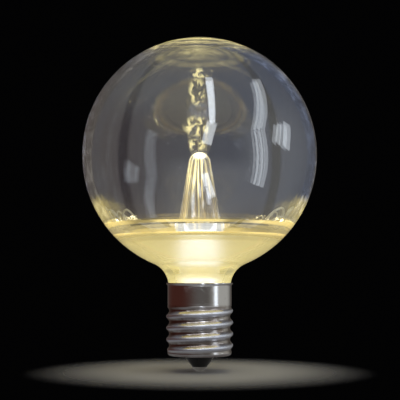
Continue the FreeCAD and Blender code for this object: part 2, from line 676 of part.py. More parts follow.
# Rows of poles over one pitch, and poles round the axis, of the rolled thread
ROWS_PER_PITCH = 8
POLES_ROUND = 20
BEND_ROWS = 4


def crest(height, turn):
    """Share of the thread depth, 0 at the root and 1 at the crest, on a right-hand helix.

    The phase is the height in pitches less the turn about the axis; the crest is narrower than the root.
    """
    phase = 2 * math.pi * (height - value("Dimensions.thread_phase")) / value("Dimensions.thread_pitch")
    return ((1 + math.cos(phase - turn)) / 2) ** 1.3


def shell_rows(inset):
    """Section of the formed sheet from the contact hole to the rim: (radius, height, thread share)."""
    bottom = value("Dimensions.shell_bottom")
    corner = value("Dimensions.shell_corner")
    hole = value("Dimensions.contact_hole")
    root = value("Dimensions.thread_minor") / 2
    top = value("Places.thread_top")
    runout = value("Dimensions.thread_runout")
    lip = value("Dimensions.lip_radius")
    lip_turn = math.radians(value("Dimensions.lip_turn"))
    collar = value("Dimensions.collar_radius")
    middle = (root + value("Dimensions.thread_major") / 2) / 2
    lip_foot = value("Dimensions.cap_rim") - (lip + value("Dimensions.sheet")) * math.sin(lip_turn)
    bend_centre = middle - corner
    rows = []
    for step in range(BEND_ROWS):
        rows.append((hole + (bend_centre - hole) * step / BEND_ROWS, bottom + inset, 0))
    for step in range(BEND_ROWS + 1):
        turn = math.pi / 2 * step / BEND_ROWS
        reach = corner - inset
        rows.append((bend_centre + reach * math.sin(turn), bottom + corner - reach * math.cos(turn), 0))
    foot = bottom + corner
    count = round((top - foot) / value("Dimensions.thread_pitch") * ROWS_PER_PITCH)
    for step in range(1, count):
        height = foot + (top - foot) * step / count
        share = min(1, (height - foot) / runout, (top - height) / runout)
        rows.append((middle - inset, height, share))
    for step in range(BEND_ROWS + 1):
        rows.append((collar - inset, top + (lip_foot - top) * step / BEND_ROWS, 0))
    for step in range(1, BEND_ROWS + 1):
        turn = lip_turn * step / BEND_ROWS
        reach = lip + inset
        rows.append((collar + lip - reach * math.cos(turn), lip_foot + reach * math.sin(turn), 0))
    return rows


def rolled_face(rows):
    """Smooth closed face through the rows, each carried round the axis with the thread's wave on it."""
    depth = (value("Dimensions.thread_major") - value("Dimensions.thread_minor")) / 2
    swell = 3 / (2 + math.cos(2 * math.pi / POLES_ROUND))
    poles = []
    for step in range(POLES_ROUND):
        turn = 2 * math.pi * step / POLES_ROUND
        column = []
        for radius, height, share in rows:
            reach = (radius + share * depth * (crest(height, turn) - 0.5)) * swell
            column.append(Vector(reach * math.cos(turn), reach * math.sin(turn), height))
        poles.append(column)
    surface = Part.BSplineSurface()
    spans = len(rows) - 3
    surface.buildFromPolesMultsKnots(poles, [1] * (POLES_ROUND + 1), [4] + [1] * (spans - 1) + [4],
                                     list(range(POLES_ROUND + 1)), list(range(spans + 1)),
                                     True, False, 3, 3)
    return surface


def cap_shell():
    """Cap shell of formed sheet: holed bottom, rolled screw thread, plain collar and flared rim."""
    outer = rolled_face(shell_rows(0))
    inner = rolled_face(shell_rows(value("Dimensions.sheet")))
    faces = [outer.toShape(), inner.toShape()]
    for place in (outer.bounds()[2], outer.bounds()[3]):
        faces.append(Part.makeRuledSurface(outer.vIso(place).toShape(), inner.vIso(place).toShape()))
    skin = Part.makeCompound(faces)
    skin.sewShape()
    solid = Part.Solid(skin.Shells[0])
    if solid.Volume < 0:
        solid.reverse()
    shell = doc.addObject("Part::Feature", "cap_shell")
    shell.Label = "cap_shell"
    shell.Shape = solid
    return shell


globe_dome()
core_lens()
globe_bowl()
joint_cement()
led_board()
for led_number in range(1, 6):
    led(led_number)
driver_board()
bridge_rectifier()
film_capacitor()
resistor(1, ("0 * Dimensions.sheet", "Places.resistor_1_level"), "x")
resistor(2, ("-Places.resistor_2_offset", "Places.resistor_2_level"), "z")
board_pin("board_pin_live", "")
board_pin("board_pin_neutral", "-")
lead_wires()
cap_insulator()
centre_contact()
cap_shell()
doc.recompute()

NODES = ["globe_dome", "core_lens", "globe_bowl", "joint_cement", "led_board",
         "led_1", "led_2", "led_3", "led_4", "led_5", "driver_board", "bridge_rectifier",
         "film_capacitor", "resistor_1", "resistor_2", "board_pin_live", "board_pin_neutral",
         "lead_wire_shell", "lead_wire_contact", "cap_insulator", "centre_contact", "cap_shell"]

for item in doc.Objects:
    if "Invalid" in item.State or "Error" in item.State:
        raise RuntimeError("%s did not compute: %s" % (item.Name, item.State))
for node in NODES:
    shape = doc.getObjectsByLabel(node)[0].Shape
    if shape.isNull() or not shape.isValid() or len(shape.Solids) != 1:
        raise RuntimeError(node + " is not one valid solid")

os.makedirs("parts", exist_ok=True)
for node in NODES:
    doc.getObjectsByLabel(node)[0].Shape.exportStep("parts/%s.step" % node)
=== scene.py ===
"""Looks of the lit globe bulb on a pool of pale floor, seen from a little below its middle.

All lengths are metres in the frame of the CAD part: lamp axis along +Z, contact tip at the origin.
"""
import math

import bpy
import numpy as np
from mathutils import Matrix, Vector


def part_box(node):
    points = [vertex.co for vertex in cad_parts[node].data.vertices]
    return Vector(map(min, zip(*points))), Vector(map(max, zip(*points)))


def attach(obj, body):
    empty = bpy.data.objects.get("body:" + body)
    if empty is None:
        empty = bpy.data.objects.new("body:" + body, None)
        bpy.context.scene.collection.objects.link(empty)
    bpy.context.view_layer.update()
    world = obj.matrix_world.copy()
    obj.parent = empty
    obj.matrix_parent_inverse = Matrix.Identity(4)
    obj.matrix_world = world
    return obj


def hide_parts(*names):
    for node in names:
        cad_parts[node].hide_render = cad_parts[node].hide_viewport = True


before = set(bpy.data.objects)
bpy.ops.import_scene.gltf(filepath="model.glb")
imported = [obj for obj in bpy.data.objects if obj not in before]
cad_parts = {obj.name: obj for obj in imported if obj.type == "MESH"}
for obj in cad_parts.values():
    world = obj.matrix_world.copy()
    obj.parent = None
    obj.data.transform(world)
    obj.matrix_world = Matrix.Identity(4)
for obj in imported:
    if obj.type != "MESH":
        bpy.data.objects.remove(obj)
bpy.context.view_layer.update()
MM = 0.001
TURN = 2 * math.pi

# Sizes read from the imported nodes
GLOBE_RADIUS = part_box("globe_dome")[1].x
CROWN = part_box("globe_dome")[1].z
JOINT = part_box("globe_dome")[0].z
BOWL_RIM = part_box("globe_bowl")[1].z
SPIGOT_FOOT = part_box("globe_bowl")[0].z
SKIRT_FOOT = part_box("core_lens")[0].z
CONE_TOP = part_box("core_lens")[1].z
CAP_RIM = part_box("cap_shell")[1].z
CAP_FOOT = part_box("cap_shell")[0].z
INSULATOR_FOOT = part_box("cap_insulator")[0].z
FLANGE_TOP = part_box("cap_insulator")[1].z
FLANGE_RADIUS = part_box("cap_insulator")[1].x
RIVET_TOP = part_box("centre_contact")[1].z
LED_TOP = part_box("led_1")[1].z
BOARD_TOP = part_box("led_board")[1].z
CONTACT_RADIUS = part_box("centre_contact")[1].x

# Sizes that the boxes don't give
WALL = 2.1 * MM
LAND = 0.35 * MM
FIT = 0.15 * MM
RING_WIDTH = 1.2 * MM
RING_HEIGHT = 1.0 * MM
CONE_BASE = 5.3 * MM
CONE_TIP = 2.75 * MM
CONE_WALL = 1.0 * MM
SKIRT_RADIUS = 5.02 * MM
NECK_RADIUS = 7.72 * MM
NECK_FILLET = 5.9 * MM
WAIST_DROP = 0.75 * MM
LEDGE_DROP = 0.8 * MM
LEDGE_WIDTH = 0.7 * MM
SPIGOT_RADIUS = 7.5 * MM
SEAT_GAP = 0.05 * MM
THREAD_MAJOR = 8.25 * MM
THREAD_MINOR = 7.51 * MM
THREAD_PITCH = 2.822 * MM
THREAD_PHASE = 14.9 * MM
THREAD_TOP = CAP_RIM - 5.35 * MM
THREAD_RUNOUT = 1.5 * MM
COLLAR_RADIUS = 7.9 * MM
LIP_RADIUS = 0.6 * MM
LIP_TURN = math.radians(70)
SHEET = 0.3 * MM
CAP_CORNER = 0.7 * MM
CONTACT_HOLE = 4.25 * MM
SHANK = 0.75 * MM
RIVET = 1.3 * MM
RIVET_HEIGHT = 0.4 * MM

UPPER_CENTRE = CROWN - GLOBE_RADIUS
LOWER_CENTRE = UPPER_CENTRE - LAND
BORE = GLOBE_RADIUS - WALL
WAIST = CAP_RIM - WAIST_DROP
LEDGE = WAIST - LEDGE_DROP
NECK_BORE = NECK_RADIUS - WALL


def across(radius, height):
    """Distance from the axis of a globe wall of this radius, below the equator."""
    return math.sqrt(radius ** 2 - (LOWER_CENTRE - height) ** 2)


def arc(centre, radius, start, finish, steps):
    """Points on an arc, from the angles start to finish in degrees, ends included."""
    angle = np.radians(np.linspace(start, finish, steps + 1))
    return np.stack([centre[0] + radius * np.cos(angle), centre[1] + radius * np.sin(angle)], 1)


def run(*corners, step=0.4 * MM):
    """Points along straight runs between corners, no further apart than the step."""
    points = []
    for first, last in zip(corners, corners[1:]):
        first, last = np.array(first), np.array(last)
        count = max(1, math.ceil(np.linalg.norm(last - first) / step))
        points.append(first + (last - first) * np.arange(count)[:, None] / count)
    return np.vstack(points + [np.array(corners[-1])[None]])


def joined(*parts):
    """Profile from parts laid end to end, without the points that two parts share."""
    profile = np.vstack(parts)
    apart = np.linalg.norm(np.diff(profile, axis=0), axis=1) > 1e-7
    return profile[np.concatenate([[True], apart])]


def finished(name, points, faces, material, replaced, crease=35):
    """Smooth mesh object that stands for a CAD node, creased where its faces meet sharply."""
    mesh = bpy.data.meshes.new(name)
    mesh.from_pydata(points.tolist(), [], faces)
    mesh.validate()
    mesh.shade_smooth()
    mesh.set_sharp_from_angle(angle=math.radians(crease))
    mesh.materials.append(material)
    piece = bpy.data.objects.new(name, mesh)
    bpy.context.scene.collection.objects.link(piece)
    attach(piece, "root")
    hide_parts(replaced)
    return piece


def wound(profile, sides):
    """Grid of a closed profile carried round the axis: point (i, j) = profile i at the angle j.

    Points on the axis become one pole. Returns the points and the faces, which look outwards.
    """
    radius, height = profile.T
    area = np.sum(radius * np.roll(height, -1) - np.roll(radius, -1) * height)
    if area < 0:
        profile = profile[::-1]
    angle = TURN * np.arange(sides) / sides
    on_axis = profile[:, 0] < 1e-9
    points, starts = [], []
    count = 0
    for (radius, height), pole in zip(profile, on_axis):
        starts.append(count)
        if pole:
            points.append(np.array([[0, 0, height]]))
            count += 1
        else:
            points.append(np.stack([radius * np.cos(angle), radius * np.sin(angle),
                                    np.full(sides, height)], 1))
            count += sides
    faces = []
    here = np.arange(sides)
    beyond = (here + 1) % sides
    for row in range(len(profile)):
        following = (row + 1) % len(profile)
        low, high = starts[row], starts[following]
        if on_axis[row] and on_axis[following]:
            continue
        if on_axis[row]:
            block = np.stack([np.full(sides, low), high + beyond, high + here], 1)
        elif on_axis[following]:
            block = np.stack([low + here, low + beyond, np.full(sides, high)], 1)
        else:
            block = np.stack([low + here, low + beyond, high + beyond, high + here], 1)
        faces += block.tolist()
    return np.vstack(points), faces


def grid_faces(rows, sides):
    """Faces of a grid that closes round its sides; face (i, j) joins row i to the row after it.

    The last row of faces joins the last row of points to the first.
    """
    index = np.arange(rows * sides).reshape(rows, sides)
    after = np.roll(index, -1, 1)
    return np.stack([index, after, np.roll(after, -1, 0), np.roll(index, -1, 0)], 2)


class Field:
    """Number that varies over a surface; arithmetic on it adds Math nodes to its shader."""

    def __init__(self, shader, socket):
        self.shader = shader
        self.socket = socket

    def __add__(self, other):
        return self.shader.maths("ADD", self, other)

    def __radd__(self, other):
        return self.shader.maths("ADD", other, self)

    def __sub__(self, other):
        return self.shader.maths("SUBTRACT", self, other)

    def __rsub__(self, other):
        return self.shader.maths("SUBTRACT", other, self)

    def __mul__(self, other):
        return self.shader.maths("MULTIPLY", self, other)

    def __rmul__(self, other):
        return self.shader.maths("MULTIPLY", other, self)

    def __truediv__(self, other):
        return self.shader.maths("DIVIDE", self, other)

    def __pow__(self, other):
        return self.shader.maths("POWER", self, other)

    def __abs__(self):
        return self.shader.maths("ABSOLUTE", self)


class Shader:
    """Node tree of one material or of the world."""

    def __init__(self, name, kind="materials"):
        self.material = getattr(bpy.data, kind).new(name)
        self.material.use_nodes = True
        self.tree = self.material.node_tree
        self.tree.nodes.clear()

    def feed(self, socket, value):
        """Set a socket to a value, or link it to a field or another socket."""
        value = getattr(value, "socket", value)
        if isinstance(value, bpy.types.NodeSocket):
            self.tree.links.new(value, socket)
        else:
            socket.default_value = value

    def node(self, kind, settings=None, sockets=None):
        """Node of a kind with its settings made first, then the values or links of its sockets."""
        node = self.tree.nodes.new("ShaderNode" + kind)
        for name, value in (settings or {}).items():
            setattr(node, name, value)
        for name, value in (sockets or {}).items():
            self.feed(node.inputs[name], value)
        return node

    def maths(self, operation, *values):
        """Field that a Math node works out."""
        node = self.node("Math", {"operation": operation}, dict(enumerate(values)))
        return Field(self, node.outputs[0])

    def place(self):
        """Object coordinates: the three numbers as fields and the vector itself."""
        vector = self.node("TexCoord").outputs["Object"]
        split = self.node("SeparateXYZ", {}, {0: vector})
        return [Field(self, split.outputs[axis]) for axis in range(3)] + [vector]

    def from_axis(self, x, y):
        """Distance from the lamp's axis."""
        return self.maths("SQRT", x * x + y * y)

    def from_centre(self, x, y, up):
        """Distance from a point on the axis, with the height measured from it."""
        return self.maths("SQRT", x * x + y * y + up * up)

    def noise(self, vector, scale, detail=2.0, roughness=0.5, distortion=0.0):
        """Noise from 0 to 1."""
        node = self.node("TexNoise", {}, {"Vector": vector, "Scale": scale, "Detail": detail,
                                          "Roughness": roughness, "Distortion": distortion})
        return Field(self, node.outputs[0])

    def rise(self, value, start, finish):
        """Smooth step from 0 at start to 1 at finish."""
        node = self.node("MapRange", {"interpolation_type": "SMOOTHSTEP"},
                         {0: value, 1: start, 2: finish, 3: 0.0, 4: 1.0})
        return Field(self, node.outputs[0])

    def vector(self, across_x, across_y, up):
        """Vector from three fields or numbers."""
        return self.node("CombineXYZ", {}, {0: across_x, 1: across_y, 2: up}).outputs[0]

    def blend(self, share, first, second):
        """Mix of two colours."""
        node = self.node("Mix", {"data_type": "RGBA"}, {0: share, 6: first, 7: second})
        return node.outputs[2]

    def tinted(self, colour, value):
        """Colour times a field."""
        return self.blend(value, (0, 0, 0, 1), colour)

    def bump(self, height, distance, strength):
        """Normal from a height field."""
        return self.node("Bump", {}, {"Height": height, "Distance": distance,
                                      "Strength": strength}).outputs[0]

    def plastic(self, sockets):
        """Principled shader with these sockets."""
        return self.node("BsdfPrincipled", {}, sockets).outputs[0]

    def mixed(self, share, first, second):
        """Mix Shader of two shaders."""
        return self.node("MixShader", {}, {0: share, 1: first, 2: second}).outputs[0]

    def lets_lamps_in(self, surface, passed=(1, 1, 1, 1)):
        """Surface whose shadow rays go through, tinted."""
        shadow = self.node("LightPath").outputs["Is Shadow Ray"]
        clear = self.node("BsdfTransparent", {}, {"Color": passed}).outputs[0]
        return self.mixed(shadow, surface, clear)

    def shown(self, surface):
        """Finish the material with its surface."""
        self.node("OutputMaterial", {}, {"Surface": surface})
        return self.material


def rgb(red, green, blue):
    """Linear colour of an sRGB one given from 0 to 255."""
    def linear(level):
        level /= 255
        return level / 12.92 if level <= 0.04045 else ((level + 0.055) / 1.055) ** 2.4
    return (linear(red), linear(green), linear(blue), 1.0)


def lit(red, green, blue, share):
    """Linear colour of an sRGB one, times a share."""
    return tuple(level * share for level in rgb(red, green, blue)[:3]) + (1.0,)


CLEAR_IOR = 1.49


def clear_plastic(name, tint, fog_share, glow, glow_strength, coat=False, frost=None):
    """Clear moulded plastic with flow waves, scratches, smudges, fog, specks and dust.

    A coat strengthens its reflections where it faces the eye, and less so on the far half.
    """
    shader = Shader(name)
    x, y, z, vector = shader.place()
    wave = shader.noise(vector, 90.0, 2.0)
    specks = shader.rise(shader.noise(vector, 900.0, 1.0), 0.74, 0.80)
    smudge = shader.rise(shader.noise(vector, 45.0, 3.0, 0.6), 0.50, 0.75)
    stretched = shader.node("Mapping", {}, {"Vector": vector, "Rotation": (0.4, 0.9, 0.2),
                                            "Scale": (1.0, 14.0, 1.0)}).outputs[0]
    scratch = shader.rise(shader.noise(stretched, 420.0, 2.0, 0.6, 0.4), 0.70, 0.76)
    normal = shader.bump(wave + scratch * 0.06, 0.25 * MM, 0.06)
    frosted = frost(shader, x, y, z) if frost else 0.0
    coated = 0.0
    if coat:
        facing = Field(shader, shader.node("LayerWeight", {}, {"Blend": 0.5}).outputs["Facing"])
        far_half = shader.rise(y, 0.0, 12 * MM)
        coated = (1 - shader.rise(facing, 0.30, 0.62)) * (1 - far_half * 0.68)
    sockets = {"Base Color": tint(shader, x, y, z) if callable(tint) else tint,
               "Roughness": 0.005 + smudge * 0.03 + frosted, "IOR": CLEAR_IOR,
               "Transmission Weight": 1.0, "Normal": normal,
               "Coat Weight": coated, "Coat Roughness": 0.01, "Coat IOR": 2.0,
               "Emission Color": glow(shader, x, y, z, vector),
               "Emission Strength": glow_strength}
    glass = shader.plastic(sockets)
    fog = shader.plastic({"Base Color": (0.80, 0.82, 0.88, 1), "Roughness": 1.0,
                          "Specular IOR Level": 0.0})
    motes = shader.node("TexVoronoi", {}, {"Vector": vector, "Scale": 260.0}).outputs[0]
    dust = 1 - shader.rise(motes, 0.018, 0.034)
    share = fog_share + specks * 0.25 + dust * 0.6 + scratch * 0.05 + smudge * fog_share * 0.5
    return shader.shown(shader.lets_lamps_in(shader.mixed(share, glass, fog)))


# Painted highlight rings at the crown: height and width in millimetres, and share of the light
CROWN_HIGHLIGHT_RINGS = [(80.6, 0.50, 1.0), (81.8, 0.25, 0.5), (79.4, 0.22, 0.25)]

# Painted reflections of the cone's tip on the dome's back wall: middle, height, half width and half
# height in millimetres
TIP_REFLECTIONS = [(-0.8, 64.8, 4.2, 3.0), (-0.7, 73.4, 2.6, 3.6), (0.2, 77.6, 3.8, 1.1),
              (-0.9, 59.6, 2.8, 1.9)]


def dome_glow(shader, x, y, z, vector):
    """Painted light on the dome's wall: a golden glow at its seat, ragged and higher at two sides,
    faint above the seat, a faint warm glow near the crown, broken painted highlight rings round the
    crown, and painted reflections of the cone's tip on the inner face of the back.
    """
    # Painted golden glow at the seat: its top edge, ragged and higher at two sides
    ragged = shader.noise(vector, 420.0, 3.0, 0.6) - 0.5
    side = abs(x) / GLOBE_RADIUS
    turn = shader.maths("ARCTAN2", y, x)
    columns = shader.noise(shader.vector(turn * 14.0, 0.0, z * 60.0), 1.6, 3.0, 0.65) - 0.5
    top = JOINT + 0.3 * MM + shader.rise(side, 0.64, 0.78) * 5.6 * MM \
        + ragged * side ** 4 * 6.0 * MM + columns * side ** 4 * 14.0 * MM
    seat = 1 - shader.rise((z - top) / MM, -0.7, 0.3)
    seat = seat * (0.12 + 0.88 * shader.rise(side, 0.55, 0.8))
    # Faint painted glow just above the seat
    low = 1 - shader.rise(z, JOINT + 1.0 * MM, JOINT + 8.0 * MM)
    # Painted highlight rings at the crown: brighter on the near half, broken by gaps
    front = 1.4 - shader.rise(y, -2 * MM, 4 * MM)
    gaps = shader.noise(shader.vector(turn * 2.5, 0.0, z * 400.0), 1.5, 2.0)
    broken = 0.35 + shader.rise(gaps, 0.35, 0.6)
    rings = 0.0
    for level, width, share in CROWN_HIGHLIGHT_RINGS:
        away = abs(z - level * MM)
        rings = (1 - shader.rise(away, 0.2 * width * MM, 1.6 * width * MM)) * share + rings
    # Faint painted warm glow near the crown
    crown = shader.rise(z, CROWN - 6.5 * MM, CROWN - 3.0 * MM)
    glow = shader.blend(low * 0.12, (0, 0, 0, 1), rgb(200, 182, 140))
    # The painted seat glow is dimmer at the very foot of the joint
    above_foot = shader.rise(z, JOINT + 0.1 * MM, JOINT + 1.0 * MM)
    golden = shader.tinted(lit(206, 186, 98, 1.3), 0.5 + above_foot * 0.5)
    glow = shader.blend(seat, glow, golden)
    glow = shader.blend(crown * 0.10, glow, rgb(200, 170, 100))
    glow = shader.blend(rings * broken * front, glow, lit(240, 222, 138, 3.6))
    # Painted reflections of the cone's tip on the inner face of the back wall, with brighter
    # painted spots in them
    depth = shader.from_centre(x, y, z - UPPER_CENTRE)
    inner = 1 - shader.rise(depth, BORE + 0.2 * MM, BORE + 0.6 * MM)
    inner_back = inner * shader.rise(y, 4 * MM, 8 * MM)
    tip_reflections = 0.0
    for middle, level, half_width, half_height in TIP_REFLECTIONS:
        off = ((x / MM - middle) / half_width) ** 2 + ((z / MM - level) / half_height) ** 2
        tip_reflections = (1 - shader.rise(off, 0.25, 1.1)) + tip_reflections
    spots = shader.noise(shader.vector(x * 1.2, 5.0, z), 480.0, 2.0, 0.55, 0.3)
    tip_reflections = tip_reflections * inner_back
    glow = shader.blend(tip_reflections * 0.15, glow, rgb(236, 214, 140))
    return shader.blend(tip_reflections * shader.rise(spots, 0.47, 0.58), glow, lit(255, 240, 166, 9.0))


def lens_glow(shader, x, y, z, vector):
    """Painted light in the disc's edge, with a painted olive shadow at two sides, in the cone's
    streaks, panes and tip, and in the column that the skirt guides.
    """
    turn = shader.maths("ARCTAN2", y, x)
    from_axis = shader.from_axis(x, y)
    wander = shader.noise(shader.vector(0.0, 3.0, z * 180.0), 1.0, 1.0)
    streaks = shader.noise(shader.vector(turn * 1.3 + wander * 0.3, 0.0, z * 20.0), 1.7, 3.0, 0.6)
    broad = shader.rise(streaks, 0.50, 0.62)
    fine = shader.noise(shader.vector(turn * 6.0 + wander * 0.5, 7.0, z * 30.0), 1.5, 2.0)
    fine = shader.rise(fine, 0.60, 0.67)
    pane = shader.noise(shader.vector(turn * 1.8, 3.0, z * 110.0), 1.6, 1.0)
    pane = shader.rise(pane, 0.60, 0.64)
    tip = shader.rise(z, CONE_TOP - 1.2 * MM, CONE_TOP - 0.3 * MM)
    in_cone = shader.rise(z, JOINT + 0.1 * MM, JOINT + 0.4 * MM) \
        * (1 - shader.rise(from_axis, CONE_BASE + 0.3 * MM, CONE_BASE + 1.0 * MM))
    skirt = 1 - shader.rise(z, BOWL_RIM - 0.4 * MM, BOWL_RIM - 0.1 * MM)
    hot = shader.rise(z, SKIRT_FOOT + 5.0 * MM, SKIRT_FOOT + 8.5 * MM)
    gold = shader.blend(broad, lit(84, 66, 30, 0.03), lit(236, 198, 100, 0.045))
    gold = shader.blend(pane, gold, lit(205, 210, 222, 0.08))
    upper = 0.30 + shader.rise(z, JOINT + 5.0 * MM, CONE_TOP - 4.0 * MM) * 0.70
    gold = shader.blend(fine * upper, gold, lit(255, 238, 168, 0.32))
    cone = shader.blend(tip, gold, lit(255, 246, 205, 0.45))
    edge = shader.rise(from_axis, GLOBE_RADIUS * 0.66, GLOBE_RADIUS * 0.76)
    plate = shader.blend(edge, lit(70, 61, 38, 0.06), lit(206, 192, 140, 0.042))
    sideways = abs(x + 2.3 * MM) / from_axis
    shaded = shader.rise(sideways, 0.28, 0.42) * (1 - shader.rise(sideways, 0.52, 0.72))
    plate = shader.blend(shaded * 0.75, plate, lit(84, 78, 52, 0.03))
    bar = shader.rise(z, SKIRT_FOOT + 0.2 * MM, SKIRT_FOOT + 0.4 * MM) \
        * (1 - shader.rise(z, SKIRT_FOOT + 1.0 * MM, SKIRT_FOOT + 1.3 * MM))
    inner = 1 - shader.rise(from_axis, SKIRT_RADIUS - 0.7 * MM, SKIRT_RADIUS - 0.3 * MM)
    column = shader.blend(shader.maths("MAXIMUM", hot, bar), lit(150, 138, 90, 0.02),
                          lit(198, 216, 255, 0.135))
    plate = shader.blend(inner, shader.tinted(plate, 1 - skirt), column)
    return shader.blend(in_cone, plate, cone)


def lens_tint(shader, x, y, z):
    """Clear cone; olive through the thick edge of the disc."""
    from_axis = shader.from_axis(x, y)
    disc = shader.rise(from_axis, CONE_BASE + 0.3 * MM, CONE_BASE + 1.0 * MM)
    return shader.blend(disc, (1.0, 0.985, 0.93, 1), (0.80, 0.74, 0.52, 1))


def frosted_skirt(shader, x, y, z):
    """Roughness added on the skirt below the disc."""
    return (1 - shader.rise(z, BOWL_RIM - 1.4 * MM, BOWL_RIM - 0.6 * MM)) * 0.5


def glowing_bowl():
    """Frosted bowl and neck: gloss outside, frost on the inner face, and a painted glow of the
    LEDs' light all over.
    """
    shader = Shader("frosted_bowl")
    x, y, z, vector = shader.place()
    from_axis = shader.from_axis(x, y)
    depth = shader.from_centre(x, y, z - LOWER_CENTRE)
    in_neck = 1 - shader.rise(z, WAIST + 3.0 * MM, WAIST + 4.5 * MM)
    bowl_inside = 1 - shader.rise(depth, BORE + 0.2 * MM, GLOBE_RADIUS - 0.4 * MM)
    neck_inside = 1 - shader.rise(from_axis, NECK_BORE + 0.3 * MM, NECK_RADIUS - 0.4 * MM)
    inside = shader.maths("MAXIMUM", bowl_inside * (1 - in_neck), neck_inside * in_neck)
    mottle = shader.noise(vector, 160.0, 3.0)
    # Painted glow, yellower toward the waist, with brighter mottles and bands
    low = shader.rise(z, WAIST + 1.0 * MM, BOWL_RIM)
    glow = shader.blend(low, rgb(227, 213, 134), rgb(218, 201, 128))
    glow = shader.blend(mottle * 0.35, glow, rgb(236, 218, 142))
    rings = shader.noise(shader.vector(0.0, 0.0, z), 700.0, 2.0)
    glow = shader.blend(shader.rise(rings, 0.45, 0.7) * 0.4, glow, rgb(244, 230, 160))
    # Painted glow darker just below the rim
    rim = shader.rise(z, BOWL_RIM - 1.2 * MM, BOWL_RIM - 0.3 * MM)
    glow = shader.blend(rim * 0.65, glow, rgb(124, 118, 92))
    # Painted darker line in the glow round the neck
    off_line = abs(z - (LEDGE + 4.3 * MM))
    neck_line = 1 - shader.rise(off_line, 0.1 * MM, 0.4 * MM)
    glow = shader.blend(neck_line * 0.5, glow, rgb(150, 134, 60))
    normal = shader.bump(shader.noise(vector, 1500.0, 2.0) * inside, 0.05 * MM, 0.4)
    frosted = shader.plastic({"Base Color": (0.97, 0.94, 0.85, 1),
                              "Roughness": 0.08 + inside * 0.42, "IOR": CLEAR_IOR,
                              "Transmission Weight": 1.0, "Normal": normal,
                              "Emission Color": glow, "Emission Strength": 0.22})
    return shader.shown(shader.lets_lamps_in(frosted, (0.6, 0.55, 0.4, 1)))


def cement_glow():
    """Clear cement with a painted glow of the disc's light, in patches, most at two sides."""
    shader = Shader("clear_cement")
    x, y, _, vector = shader.place()
    grain = shader.noise(vector, 600.0, 2.0)
    patches = shader.rise(shader.noise(vector, 900.0, 2.0), 0.42, 0.58)
    glow = shader.blend(grain, rgb(205, 188, 120), rgb(250, 240, 195))
    glow = shader.blend(patches, shader.tinted(glow, 0.25), glow)
    sideways = abs(x) / shader.from_axis(x, y)
    glow = shader.tinted(glow, 0.58 + shader.rise(sideways, 0.55, 0.8) * 0.42)
    surface = shader.plastic({"Base Color": (0.9, 0.86, 0.7, 1), "Roughness": 0.2 + grain * 0.2,
                              "IOR": CLEAR_IOR, "Transmission Weight": 0.6,
                              "Normal": shader.bump(grain, 0.2 * MM, 0.5),
                              "Emission Color": glow, "Emission Strength": 0.085})
    return shader.shown(shader.lets_lamps_in(surface))


def bright_nickel():
    """Nickel plate: rougher crests where the holder rubs them, tinted bluish so that the glow they
    reflect looks white; darker brown in the roots.
    """
    shader = Shader("cap_nickel")
    x, y, z, vector = shader.place()
    from_axis = shader.from_axis(x, y)
    rubbed = shader.rise(from_axis, THREAD_MINOR + 0.1 * MM, THREAD_MAJOR - 0.15 * MM)
    turn = shader.maths("ARCTAN2", y, x)
    along = shader.vector(turn * 8.0 * MM, 0.0, z * 12.0)
    drawn = shader.noise(along, 900.0, 3.0, 0.6)
    stain = shader.noise(vector, 220.0, 4.0, 0.65)
    spots = shader.rise(shader.noise(vector, 1300.0, 2.0), 0.62, 0.72)
    collar = shader.rise(z, THREAD_TOP - 0.4 * MM, THREAD_TOP + 0.3 * MM)
    # Darker brown in the roots, blotchy, and small darker spots all over
    root = (1 - rubbed) * (1 - collar)
    dark_roots_and_spots = root * (0.35 + shader.rise(stain, 0.30, 0.60) * 0.55) + spots * 0.2
    colour = shader.blend(dark_roots_and_spots, (0.84, 0.85, 0.90, 1), (0.27, 0.215, 0.19, 1))
    # Bluish tint on the crests, which whitens the bowl's yellow glow in their reflections; the
    # crests are also rougher
    worn = shader.rise(from_axis, THREAD_MAJOR - 0.32 * MM, THREAD_MAJOR - 0.12 * MM)
    worn = worn * (1 - collar)
    colour = shader.blend(worn, colour, (0.83, 0.87, 1.0, 1))
    roughness = 0.06 + drawn * 0.07 + dark_roots_and_spots * 0.16 + worn * (0.22 + drawn * 0.16)
    normal = shader.bump(drawn * 0.6 + stain * 0.4, 0.06 * MM, 0.35)
    return shader.shown(shader.plastic({"Base Color": colour, "Metallic": 1.0,
                                        "Roughness": roughness, "Normal": normal}))


def moulded(name, colour, roughness, worn, metallic=0.0, gloss=0.5):
    """Opaque finish with mottled colour, roughness and a fine grain."""
    shader = Shader(name)
    vector = shader.place()[-1]
    mottle = shader.noise(vector, 225.0, 3.0)
    fine = shader.noise(vector, 900.0, 3.0)
    return shader.shown(shader.plastic({
        "Base Color": shader.blend(shader.rise(mottle, 0.35, 0.7), colour, worn),
        "Roughness": roughness + (fine - 0.5) * 0.2,
        "Metallic": metallic, "Specular IOR Level": gloss,
        "Normal": shader.bump(fine, 0.05 * MM, 0.5)}))


def phosphor():
    """LED package: white rim, phosphor window that shines."""
    shader = Shader("led_phosphor")
    _, _, z, vector = shader.place()
    grain = shader.noise(vector, 2500.0, 2.0)
    window = shader.rise(z, LED_TOP - 0.15 * MM, LED_TOP - 0.13 * MM) \
        * (1 - shader.rise(z, LED_TOP - 0.10 * MM, LED_TOP - 0.08 * MM))
    glow = shader.blend(grain, rgb(250, 242, 215), rgb(250, 250, 245))
    return shader.shown(shader.plastic({
        "Base Color": shader.blend(window, rgb(235, 235, 228), rgb(240, 214, 120)),
        "Roughness": 0.5,
        "Emission Color": shader.tinted(glow, window), "Emission Strength": 7.0}))


